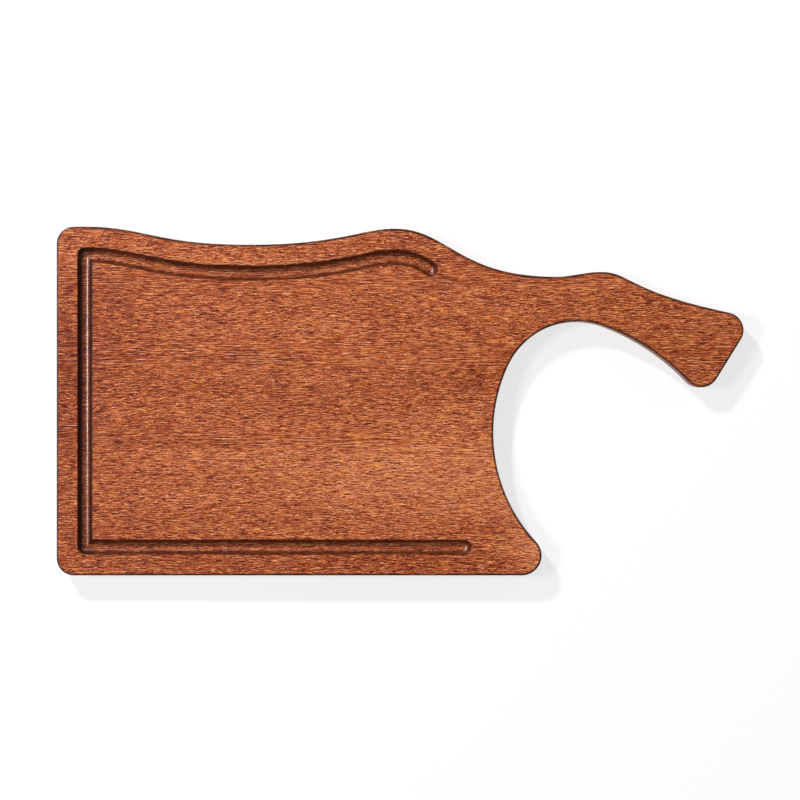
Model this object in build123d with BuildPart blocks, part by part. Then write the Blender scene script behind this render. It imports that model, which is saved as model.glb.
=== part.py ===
"""Hardwood carving board with a juice groove and a hooked handle, edge-glued from staves.

The frame has +X towards the handle, +Y towards the wavy edge and +Z up from the underside.
The origin is at the middle of the board's length and width, on the face it rests on.
All sizes are in millimetres and all angles in degrees.
"""

import os

from build123d import *

# Board
board_length = 500
board_width = 254
board_thickness = 20
edge_round = 1.5
left_end = -board_length / 2
wavy_side = board_width / 2
straight_side = -board_width / 2

# Juice groove: a ball-nosed cutter sunk to half its width, the same distance in from each edge
groove_radius = 5
groove_rim_round = 0.5
groove_inset = 20.7
groove_straight_end = 46.5
wavy_run_share = 0.757
wavy_run_steps = 12

# Wavy edge: it is level at each crest and dip, and each swell between two of them
# keeps near the level of its start and of its end over the reaches given here
first_crest = Vector(left_end + groove_inset, wavy_side)
first_dip = Vector(-109.5, 113.8)
second_crest = Vector(-4, 125.5)
second_dip = Vector(113, 90.5)
third_crest = Vector(146.5, 94)
handle_back = Vector(232, 66)
handle_back_slope = -12.5
first_fall_reaches = (43, 69)
first_rise_reaches = (65, 24.5)
second_fall_reaches = (39, 71)
second_rise_reaches = (13, 13)
handle_fall_reaches = (20, 68)

# Hook: tangent arcs from the heel's point, round the throat and under the handle
heel_point = Vector(131.5, straight_side)
heel_direction = 153
throat_start = Vector(78.5, 25.5)
throat_end = Vector(148.5, 54.5)
grip_point = Vector(221, 1)
handle_reach = 257.75

# Corner rounding
left_corner_radius = 12.5
heel_radius = 14.5
grip_radius = 13

# Staves: the joints between them, across the board, and where the handle leaves the board
stave_width = 58
heel_joint = -91.5
lower_joint = heel_joint + stave_width
centre_joint = lower_joint + stave_width
wavy_joint = centre_joint + stave_width
handle_root = 150

top_plane = Plane.XY.offset(board_thickness)


def swell(start, end, reaches, end_slope=0):
    """One stretch of the wavy edge, level at its start and at the given slope at its end."""
    leaving = Vector(reaches[0], 0)
    arriving = Vector(reaches[1], 0).rotate(Axis.Z, end_slope)
    return Bezier(start, start + leaving, end - arriving, end)


def inset_point(edge, along):
    """Where the groove's middle line faces a point of the board's wavy edge, seen from above."""
    inward = (edge % along).rotate(Axis.Z, -90)
    point = edge @ along + inward * groove_inset
    return (point.X, point.Y)


def cut_run(path):
    """Cut a run of the groove along a path at the level of the working face."""
    with BuildSketch(Plane(origin=path @ 0, z_dir=path % 0)) as cutter:
        Circle(groove_radius)
    sweep(cutter.sketch, path=path, mode=Mode.SUBTRACT)


# The wavy edge as far as its second dip, which the groove follows
with BuildLine() as wave:
    swell(first_crest, first_dip, first_fall_reaches)
    swell(first_dip, second_crest, first_rise_reaches)
    swell(second_crest, second_dip, second_fall_reaches)

# The whole outline, its corners still sharp
with BuildLine() as outline:
    add(wave.line)
    swell(second_dip, third_crest, second_rise_reaches)
    swell(third_crest, handle_back, handle_fall_reaches, handle_back_slope)
    handle_tip = PolarLine(
        handle_back,
        handle_reach - handle_back.X,
        handle_back_slope,
        length_mode=LengthMode.HORIZONTAL,
    )
    Line(handle_tip @ 1, grip_point)
    hook = TangentArc(heel_point, throat_start, tangent=Vector(1, 0).rotate(Axis.Z, heel_direction))
    throat = TangentArc(throat_start, throat_end, tangent=hook % 1)
    TangentArc(throat_end, grip_point, tangent=throat % 1)
    Polyline(heel_point, (left_end, straight_side), (left_end, wavy_side), first_crest)

with BuildSketch() as profile:
    make_face(outline.edges())
    left_corners = profile.vertices().group_by(Axis.X)[0]
    fillet(left_corners, radius=left_corner_radius)
    heel_corner = profile.vertices().sort_by_distance(heel_point)[0]
    fillet(heel_corner, radius=heel_radius)
    grip_corners = [
        profile.vertices().sort_by_distance(handle_tip @ 1)[0],
        profile.vertices().sort_by_distance(grip_point)[0],
    ]
    fillet(grip_corners, radius=grip_radius)

# The groove's middle line, run by run
with BuildLine(top_plane) as wavy_run:
    wavy_run_points = [
        inset_point(wave.wire(), wavy_run_share * step / wavy_run_steps)
        for step in range(wavy_run_steps + 1)
    ]
    Spline(*wavy_run_points)

groove_left = left_end + groove_inset
groove_straight = straight_side + groove_inset
with BuildLine(top_plane) as left_run:
    Line((groove_left, wavy_side - groove_inset), (groove_left, groove_straight))
with BuildLine(top_plane) as straight_run:
    Line((groove_left, groove_straight), (groove_straight_end, groove_straight))
runs = [wavy_run, left_run, straight_run]

# The panel as it is once its staves are glued up, sawn to shape, rounded over and grooved
with BuildPart() as panel:
    add(profile.sketch)
    extrude(amount=board_thickness)
    fillet(panel.faces().filter_by(Axis.Z).edges(), radius=edge_round)
    for run in runs:
        cut_run(run.line)
    with Locations(*[run.line @ end for run in runs for end in (0, 1)]):
        Sphere(groove_radius, mode=Mode.SUBTRACT)
    working_face = panel.faces().sort_by(Axis.Z)[-1]
    fillet(working_face.inner_wires().edges(), radius=groove_rim_round)


def stave(low_side, high_side, start=left_end, end=-left_end):
    """What one length of plank keeps of the panel, between two joints and two ends."""
    add(panel.part)
    with BuildSketch() as stock:
        with Locations(((start + end) / 2, (low_side + high_side) / 2)):
            Rectangle(end - start, high_side - low_side)
    extrude(stock.sketch, amount=board_thickness, mode=Mode.INTERSECT)


with BuildPart() as wavy_edge_stave:
    stave(wavy_joint, wavy_side)

with BuildPart() as handle_stave:
    stave(centre_joint, wavy_joint)

with BuildPart() as centre_stave:
    stave(lower_joint, centre_joint, end=handle_root)

with BuildPart() as grip_end_block:
    stave(lower_joint, centre_joint, start=handle_root)

with BuildPart() as lower_stave:
    stave(heel_joint, lower_joint)

with BuildPart() as heel_stave:
    stave(straight_side, heel_joint)

wavy_edge_stave.part.label = "wavy_edge_stave"
handle_stave.part.label = "handle_stave"
centre_stave.part.label = "centre_stave"
grip_end_block.part.label = "grip_end_block"
lower_stave.part.label = "lower_stave"
heel_stave.part.label = "heel_stave"

os.makedirs("parts", exist_ok=True)
for piece in (wavy_edge_stave, handle_stave, centre_stave, grip_end_block, lower_stave, heel_stave):
    export_step(piece.part, f"parts/{piece.part.label}.step")
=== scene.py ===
"""A hardwood carving board with a juice groove and a hooked handle, seen from straight above.

The CAD staves stay as they are and get one kind of wood: a solid grain figure that runs along
the board, so the top, the walls and the groove all cut through the same fibres.
Lengths in the scene are in metres. Lengths in the wood's nodes are in millimetres.
"""

import bpy
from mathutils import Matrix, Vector


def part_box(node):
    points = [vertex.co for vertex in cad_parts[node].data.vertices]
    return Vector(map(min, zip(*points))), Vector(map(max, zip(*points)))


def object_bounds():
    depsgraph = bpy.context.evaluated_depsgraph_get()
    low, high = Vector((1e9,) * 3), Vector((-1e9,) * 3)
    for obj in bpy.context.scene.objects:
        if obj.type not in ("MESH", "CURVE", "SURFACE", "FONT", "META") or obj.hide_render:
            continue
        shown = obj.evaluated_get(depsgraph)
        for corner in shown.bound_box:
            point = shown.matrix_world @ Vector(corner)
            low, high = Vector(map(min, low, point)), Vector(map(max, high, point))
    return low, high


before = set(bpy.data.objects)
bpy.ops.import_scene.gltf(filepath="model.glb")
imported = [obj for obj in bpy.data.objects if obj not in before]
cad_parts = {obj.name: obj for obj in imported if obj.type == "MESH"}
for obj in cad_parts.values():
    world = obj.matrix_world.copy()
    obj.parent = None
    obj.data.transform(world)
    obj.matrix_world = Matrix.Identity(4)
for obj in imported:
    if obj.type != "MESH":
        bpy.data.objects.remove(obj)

bpy.context.view_layer.update()
cad_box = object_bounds()
lowest, highest = cad_box
centre = (lowest + highest) / 2

MM = 0.001

# ---------------------------------------------------------------- camera and light

SENSOR_WIDTH = 36.0
VIEW_WIDTH = 0.5819
CAMERA_HEIGHT = 1.68
CAMERA_ASIDE = Vector((-0.07, 0.73, 0)) * MM
CLIP_START = 0.01
CLIP_END = 100

# Each light: the direction it shines from, the side of its square in metres, and its watts
LIGHT_DISTANCE = 2.6
LIGHTS = {
    "key": ((-0.457, 0.629, 0.629), 0.22, 49),
    "gloss": ((-0.62, 0.05, 0.78), 0.45, 27),
    "side": ((0.83, 0.55, 0.6), 0.3, 5),
}
WORLD_STRENGTH = 0.16


def srgb(red, green, blue):
    """A colour given as the eye sees it, 0 to 255, as the linear values that the nodes take."""
    channels = []
    for value in (red, green, blue):
        share = value / 255
        if share <= 0.04045:
            channels.append(share / 12.92)
        else:
            channels.append(((share + 0.055) / 1.055) ** 2.4)
    return (*channels, 1)


def area_light(name, towards, size, watts):
    """A square soft light that points at the middle of the board, in the given direction from it."""
    data = bpy.data.lights.new(name, "AREA")
    data.shape = "SQUARE"
    data.size = size
    data.energy = watts
    light = bpy.data.objects.new(name, data)
    light.location = centre + Vector(towards).normalized() * LIGHT_DISTANCE
    light.rotation_euler = (centre - light.location).to_track_quat("-Z", "Y").to_euler()
    bpy.context.scene.collection.objects.link(light)


camera_data = bpy.data.cameras.new("camera")
camera_data.sensor_width = SENSOR_WIDTH
camera_data.lens = SENSOR_WIDTH * CAMERA_HEIGHT / VIEW_WIDTH
camera_data.clip_start = CLIP_START
camera_data.clip_end = CLIP_END
camera = bpy.data.objects.new("camera", camera_data)
camera.location = Vector((centre.x, centre.y, highest.z + CAMERA_HEIGHT)) + CAMERA_ASIDE
bpy.context.scene.collection.objects.link(camera)
bpy.context.scene.camera = camera

for light_name, (towards, size, watts) in LIGHTS.items():
    area_light(light_name, towards, size, watts)

world = bpy.data.worlds.new("studio")
world.use_nodes = True
background = world.node_tree.nodes["Background"]
background.inputs["Color"].default_value = (1, 1, 1, 1)
background.inputs["Strength"].default_value = WORLD_STRENGTH
bpy.context.scene.world = world
bpy.context.scene.view_settings.view_transform = "Standard"

# ---------------------------------------------------------------- node helpers


class Nodes:
    """Short ways of adding shader nodes to one material."""

    def __init__(self, name):
        self.material = bpy.data.materials.new(name)
        self.material.use_nodes = True
        self.tree = self.material.node_tree
        self.tree.nodes.clear()

    def add(self, kind, inputs=None, **settings):
        """A node, with its settings and what goes into it: a value or another node's output."""
        node = self.tree.nodes.new(kind)
        for name, value in settings.items():
            setattr(node, name, value)
        for name, value in (inputs or {}).items():
            if isinstance(value, bpy.types.NodeSocket):
                self.tree.links.new(value, node.inputs[name])
            else:
                node.inputs[name].default_value = value
        return node

    def math(self, operation, *values, clamp=False):
        """The result of one sum on numbers."""
        inputs = dict(enumerate(values))
        return self.add("ShaderNodeMath", inputs, operation=operation, use_clamp=clamp).outputs[0]

    def vector(self, operation, *values):
        """The result of one sum on vectors that gives a vector."""
        inputs = dict(enumerate(values))
        return self.add("ShaderNodeVectorMath", inputs, operation=operation).outputs[0]

    def measure(self, operation, *values):
        """The result of one sum on vectors that gives a number."""
        inputs = dict(enumerate(values))
        return self.add("ShaderNodeVectorMath", inputs, operation=operation).outputs["Value"]

    def plus(self, first, *others):
        """All the values added up."""
        for value in others:
            first = self.math("ADD", first, value)
        return first

    def times(self, first, second):
        """Two values multiplied."""
        return self.math("MULTIPLY", first, second)

    def gap(self, value, level):
        """How far a value is from a level."""
        return self.math("ABSOLUTE", self.math("SUBTRACT", value, level))

    def swing(self, value, strength):
        """What a value that lies about a half adds to a level, more or less than nothing."""
        return self.times(self.math("SUBTRACT", value, 0.5), strength)

    def map_range(self, value, start, end, low, high, kind):
        """A run from low to high as value goes from start to end."""
        inputs = {"Value": value, "From Min": start, "From Max": end, "To Min": low, "To Max": high}
        return self.add("ShaderNodeMapRange", inputs, interpolation_type=kind).outputs["Result"]

    def fade(self, value, start, end, low=0.0, high=1.0):
        """A smooth step from low to high as value goes from start to end."""
        return self.map_range(value, start, end, low, high, "SMOOTHSTEP")

    def stretch(self, value, start, end):
        """A straight run from 0 to 1 as value goes from start to end."""
        return self.map_range(value, start, end, 0.0, 1.0, "LINEAR")

    def blend(self, share, first, second):
        """Two numbers mixed."""
        node = self.add("ShaderNodeMix", {0: share, 2: first, 3: second}, data_type="FLOAT")
        return node.outputs[0]

    def tint(self, share, first, second, blend_type="MIX"):
        """Two colours mixed."""
        inputs = {0: share, 6: first, 7: second}
        node = self.add("ShaderNodeMix", inputs, data_type="RGBA", blend_type=blend_type)
        return node.outputs[2]

    def ramp(self, value, colours):
        """A colour that goes through the given ones, evenly spaced, as value goes from 0 to 1."""
        node = self.add("ShaderNodeValToRGB", {"Fac": value})
        elements = node.color_ramp.elements
        elements[0].color = colours[0]
        elements[1].color = colours[-1]
        steps = len(colours) - 1
        for step in range(1, steps):
            elements.new(step / steps).color = colours[step]
        return node.outputs["Color"]

    def combine(self, **parts):
        """A vector made of numbers along X, Y and Z."""
        return self.add("ShaderNodeCombineXYZ", parts).outputs[0]

    def cells(self, point, sizes, offset):
        """A place measured in grains of the given sizes along X, Y and Z, shifted along."""
        inverse = tuple(1 / size for size in sizes)
        scaled = self.vector("MULTIPLY", point, inverse)
        return self.vector("ADD", scaled, (offset, offset / 2, offset / 3))

    def noise(self, point, grain):
        """Soft random grains, 0 to 1 about a middle of a half."""
        sizes, offset, detail, roughness = grain
        inputs = {
            "Vector": self.cells(point, sizes, offset),
            "Scale": 1.0,
            "Detail": detail,
            "Roughness": roughness,
        }
        return self.add("ShaderNodeTexNoise", inputs, noise_dimensions="3D").outputs["Fac"]

    def strands(self, point, beside, grain):
        """How much lighter a fibre is than the one next to it, about 0."""
        return self.math(
            "SUBTRACT",
            self.noise(self.vector("ADD", point, beside), grain),
            self.noise(self.vector("SUBTRACT", point, beside), grain),
        )

    def pores(self, point, sizes, offset, radius):
        """1 inside the thin vessels that run along the grain, and 0 between them."""
        inputs = {"Vector": self.cells(point, sizes, offset), "Scale": 1.0, "Randomness": 1.0}
        node = self.add("ShaderNodeTexVoronoi", inputs, voronoi_dimensions="3D", feature="F1")
        return self.fade(node.outputs["Distance"], radius, radius * 0.5)


# ---------------------------------------------------------------- wood

# Each kind of grain: its sizes along X, Y and Z, its own offset, its detail and its roughness
SWAY = ((95, 50, 50), 3.1, 1.0, 0.5)
WIGGLE = ((6, 3, 3), 7.7, 2.0, 0.6)
BAND_GAPS = ((60, 9, 9), 11.3, 2.0, 0.5)
DASHES = ((5.0, 0.6, 0.6), 1.3, 2.0, 0.55)
STREAKS = ((13, 0.6, 0.6), 2.9, 1.5, 0.6)
LINES = ((60, 0.6, 0.6), 5.9, 2.0, 0.6)
BLOTCHES = ((6.5, 0.95, 0.95), 17.0, 1.5, 0.5)
RIBBON = ((170, 17, 17), 23.0, 2.0, 0.5)
FIBRES = ((1.9, 0.28, 0.28), 29.0, 1.5, 0.6)
CLOUDS = ((12, 3.6, 3.6), 41.0, 3.0, 0.6)
WEAR = ((16, 16, 16), 61.0, 3.0, 0.6)

# Bands of straight fibre along the board: their middle, half width and slope
BANDS = ((87, 7, 0.0), (34, 12, 0.0), (-33, 7, 0.05))

# Soft patches of the figure, seen from above: their middle and half sizes, and how much lighter
PATCHES = (
    ((60, -50), (230, 46), 0.15),
    ((20, -12), (90, 16), 0.07),
    ((-50, 59), (30, 16), 0.05),
    ((120, -106), (50, 34), 0.32),
    ((60, 18), (30, 22), -0.05),
    ((-225, 10), (60, 110), -0.05),
    ((-215, 62), (75, 45), -0.09),
    ((-215, -88), (75, 30), -0.06),
    ((-100, -119), (200, 12), -0.09),
    ((-243, 0), (14, 140), -0.09),
    ((-152, 31), (11, 1.8), -0.3),
    ((-62, 30.5), (24, 1.6), -0.18),
)

SWAY_REACH = 7.0
WIGGLE_REACH = 2.8
FIBRE_STEP = 0.32
GRAIN_CONTRAST = 2.35
STRAIGHT_CONTRAST = 1.2 * GRAIN_CONTRAST
BLOTCH_CONTRAST = 1.3
RIBBON_CONTRAST = 0.25
CLOUD_CONTRAST = 0.6
FIBRE_CONTRAST = 1.0
MIDDLE_LEVEL = 0.485

# The wood from its darkest fibres to its lightest
WOOD_COLOURS = [
    srgb(66, 4, 0),
    srgb(117, 33, 0),
    srgb(161, 72, 22),
    srgb(193, 99, 54),
    srgb(221, 132, 82),
    srgb(245, 169, 116),
]
MAUVE = (0.98, 1.0, 1.5, 1)
GOLD = (1.03, 1.0, 0.65, 1)
VESSEL = srgb(84, 24, 6)
GLUE = srgb(70, 30, 16)
END_GRAIN = srgb(88, 36, 18)
# painted shade on the round-overs and rims, mixed with burnish
BURNISH_AND_EDGE_SHADE = srgb(40, 14, 6)
# painted shade in the groove, mixed with the cutter's scorching
SCORCH_AND_SHADE = srgb(58, 12, 2)

# Across the thickness: the middle, and how far from it the round-overs begin
HALF_THICKNESS = (highest.z - lowest.z) / 2 / MM
MIDDLE_HEIGHT = (highest.z + lowest.z) / 2 / MM
ROUND_OVER = 1.5
ROUND_OVER_START = HALF_THICKNESS - ROUND_OVER
BLEND_REACH = 0.2

# The run of the groove that crosses the board lies within this much of its left end
CROSS_RUN_REACH = 26
CROSS_RUN_SIDE = lowest.x / MM + CROSS_RUN_REACH


def fibre_places(n, raw, where, offset):
    """Where each point lies in the unbent plank, in depth and seen from above, and how straight.

    The fibres wander a little from the board's length, and more where the figure is busy.
    """
    sway = n.swing(n.noise(raw, SWAY), SWAY_REACH)
    wiggle = n.swing(n.noise(raw, WIGGLE), WIGGLE_REACH)
    swayed = n.plus(where["Y"], sway)

    bands = []
    for middle, half_width, slope in BANDS:
        level = n.plus(swayed, n.times(where["X"], slope))
        bands.append(n.fade(n.gap(level, middle), half_width * 1.3, half_width * 0.5))
    straight = n.math("MAXIMUM", n.math("MAXIMUM", bands[0], bands[1]), bands[2])
    straight = n.times(straight, n.fade(n.noise(raw, BAND_GAPS), 0.35, 0.6, 0.45, 1.0))

    shift = n.plus(sway, n.times(wiggle, n.blend(straight, 1.0, 0.25)))
    point = n.vector("ADD", raw, n.combine(Y=shift, Z=shift))
    point = n.vector("ADD", point, (offset, 0, 0))
    from_above = n.combine(X=where["X"], Y=n.plus(where["Y"], shift))
    return point, from_above, straight


def fibre_grain(n, point, facing, straight):
    """Dashes of light and dark fibre, and long lines of it where the fibres are straight."""
    sideways = n.fade(n.math("ABSOLUTE", facing["Y"]), 0.4, 0.8, 0.0, FIBRE_STEP)
    beside = n.combine(Y=n.math("SUBTRACT", FIBRE_STEP, sideways), Z=sideways)
    dashes, streaks, lines = [n.strands(point, beside, kind) for kind in (DASHES, STREAKS, LINES)]
    return n.blend(straight, n.blend(0.35, dashes, streaks), n.blend(0.55, streaks, lines))


def wood(name, offset, tone, seams):
    """Oiled reddish-brown wood: offset moves the figure along, tone makes it lighter or darker.

    The seams are the levels across the board of this stave's glue lines.
    """
    n = Nodes(name)
    place = n.add("ShaderNodeTexCoord")
    raw = n.vector("MULTIPLY", place.outputs["Object"], (1 / MM, 1 / MM, 1 / MM))
    facing = n.add("ShaderNodeSeparateXYZ", {0: place.outputs["Normal"]}).outputs
    where = n.add("ShaderNodeSeparateXYZ", {0: raw}).outputs
    point, from_above, straight = fibre_places(n, raw, where, offset)

    # How light the wood is, from fine fibres up to broad ribbons and soft patches
    grain = fibre_grain(n, point, facing, straight)
    blotches = n.noise(point, BLOTCHES)
    clouds = n.noise(point, CLOUDS)
    fibres = n.noise(point, FIBRES)
    level = n.plus(
        n.times(grain, n.blend(straight, GRAIN_CONTRAST, STRAIGHT_CONTRAST)),
        n.swing(blotches, BLOTCH_CONTRAST),
        n.swing(n.noise(point, RIBBON), RIBBON_CONTRAST),
        n.swing(clouds, CLOUD_CONTRAST),
        n.swing(fibres, FIBRE_CONTRAST),
    )
    for middle, reach, amount in PATCHES:
        away = n.vector("DIVIDE", n.vector("SUBTRACT", from_above, (*middle, 0)), (*reach, 1))
        level = n.plus(level, n.fade(n.measure("LENGTH", away), 1.1, 0.2, 0.0, amount))
    level = n.math("ADD", level, MIDDLE_LEVEL + tone, clamp=True)
    colour = n.ramp(level, WOOD_COLOURS)

    # Darker blotches are mauve and lighter ones gold
    hue = n.stretch(n.blend(0.15, clouds, blotches), 0.32, 0.68)
    colour = n.tint(1.0, colour, n.tint(hue, MAUVE, GOLD), "MULTIPLY")

    # Vessels, open on the surface
    vessels = n.math(
        "MAXIMUM",
        n.pores(point, (6, 0.75, 0.75), 51.0, 0.3),
        n.pores(point, (3.5, 0.9, 0.9), 57.0, 0.26),
    )
    colour = n.tint(n.times(vessels, 0.6), colour, VESSEL)

    # Round-overs get painted shade, with some burnish, from just inside their edge, which the
    # softened normal finds.
    # It would find the glue lines as well, so it is left out there.
    surface = n.add("ShaderNodeNewGeometry").outputs["Normal"]
    softened = n.add("ShaderNodeBevel", {"Radius": ROUND_OVER * MM}, samples=4).outputs[0]
    near_edge = n.fade(n.measure("DOT_PRODUCT", surface, softened), 0.9999, 0.99)
    for seam in seams:
        from_seam = n.gap(where["Y"], seam)
        colour = n.tint(n.fade(from_seam, 0.12, 0.06, 0.0, 0.2), colour, GLUE)
        near_edge = n.times(near_edge, n.fade(from_seam, 1.6, 1.8))

    # Cuts across the fibres take up more oil
    end_grain = n.fade(n.math("ABSOLUTE", facing["X"]), 0.2, 0.85)
    colour = n.tint(n.times(end_grain, 0.55), colour, END_GRAIN)

    # Round-overs and the groove's rims are darkened, partly burnish and partly painted shade where
    # they turn from the light, and worn lighter here and there
    flatness = n.math("ABSOLUTE", facing["Z"])
    near_face = n.fade(
        n.gap(where["Z"], MIDDLE_HEIGHT),
        ROUND_OVER_START - BLEND_REACH,
        ROUND_OVER_START + BLEND_REACH,
    )
    curved = n.math("MAXIMUM", near_edge, n.fade(flatness, 0.9996, 0.98))
    rounded = n.times(near_face, curved)
    wear = n.fade(n.noise(raw, WEAR), 0.35, 0.7, 0.95, 0.6)
    colour = n.tint(n.times(rounded, wear), colour, BURNISH_AND_EDGE_SHADE)

    # Painted shade in the groove, with some scorching from the cutter: darker on its steep walls and
    # on the run that crosses the fibres
    below_face = n.math("SUBTRACT", 1.0, near_face)
    hollow = n.times(below_face, n.fade(facing["Z"], 0.1, 0.3))
    floor_scorch_and_shade = n.fade(where["X"], CROSS_RUN_SIDE + 0.5, CROSS_RUN_SIDE - 0.5, 0.22, 0.52)
    wall_scorch_and_shade = n.times(n.fade(flatness, 1.0, 0.6), 0.6)
    scorch_and_shade = n.math("MULTIPLY", hollow, n.plus(floor_scorch_and_shade, wall_scorch_and_shade), clamp=True)
    colour = n.tint(scorch_and_shade, colour, SCORCH_AND_SHADE)

    roughness = n.plus(0.46, n.swing(fibres, 0.3), n.times(vessels, 0.2))
    roughness = n.plus(roughness, n.times(hollow, -0.24), n.times(rounded, -0.15))

    height = n.plus(n.times(grain, 0.5), n.times(fibres, 0.25), n.times(vessels, -0.6))
    relief = n.add("ShaderNodeBump", {"Height": height, "Strength": 0.6, "Distance": 0.12 * MM})

    shader = n.add(
        "ShaderNodeBsdfPrincipled",
        {
            "Base Color": colour,
            "Roughness": roughness,
            "Specular IOR Level": 0.3,
            "Coat Weight": n.times(hollow, 0.6),
            "Coat Roughness": 0.27,
            "Coat Normal": relief.outputs[0],
            "Normal": relief.outputs[0],
        },
    )
    n.add("ShaderNodeOutputMaterial", {"Surface": shader.outputs[0]})
    return n.material


# ---------------------------------------------------------------- the pieces

# A glue line lies further than this inside the board's own sides
SIDE_MARGIN = 5 * MM

# Each stave: how far its figure is moved along, and how much lighter it is
STAVES = {
    "wavy_edge_stave": (0, 0.0),
    "handle_stave": (37, 0.0),
    "centre_stave": (-61, -0.015),
    "grip_end_block": (19, 0.0),
    "lower_stave": (83, 0.02),
    "heel_stave": (-24, -0.015),
}
for stave_name, (offset, tone) in STAVES.items():
    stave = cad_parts[stave_name]
    seams = [
        corner.y / MM
        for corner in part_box(stave_name)
        if lowest.y + SIDE_MARGIN < corner.y < highest.y - SIDE_MARGIN
    ]
    stave.data.materials[0] = wood(f"wood_{stave_name}", offset, tone, seams)

# ---------------------------------------------------------------- floor

FLOOR_SIZE = 8
FLOOR_GAP = 0.1 * MM
FLOOR_COLOUR = (0.3, 0.3, 0.3, 1)
FLOOR_ROUGHNESS = 0.9
FLOOR_GLOW = 0.73

half = FLOOR_SIZE / 2
floor_level = lowest.z - FLOOR_GAP
corners = [
    (-half, -half, floor_level),
    (half, -half, floor_level),
    (half, half, floor_level),
    (-half, half, floor_level),
]
floor_data = bpy.data.meshes.new("floor")
floor_data.from_pydata(corners, [], [(0, 1, 2, 3)])
floor = bpy.data.objects.new("floor", floor_data)
bpy.context.scene.collection.objects.link(floor)

# The floor is clear from below, so that the board's underside can be seen
f = Nodes("floor")
pale = f.add(
    "ShaderNodeBsdfPrincipled",
    {
        "Base Color": FLOOR_COLOUR,
        "Roughness": FLOOR_ROUGHNESS,
        "Emission Color": (1, 1, 1, 1),
        "Emission Strength": FLOOR_GLOW,
    },
)
from_below = f.add("ShaderNodeNewGeometry").outputs["Backfacing"]
clear = f.add("ShaderNodeBsdfTransparent")
one_sided = f.add("ShaderNodeMixShader", {0: from_below, 1: pale.outputs[0], 2: clear.outputs[0]})
f.add("ShaderNodeOutputMaterial", {"Surface": one_sided.outputs[0]})
floor_data.materials.append(f.material)

bpy.context.view_layer.update()
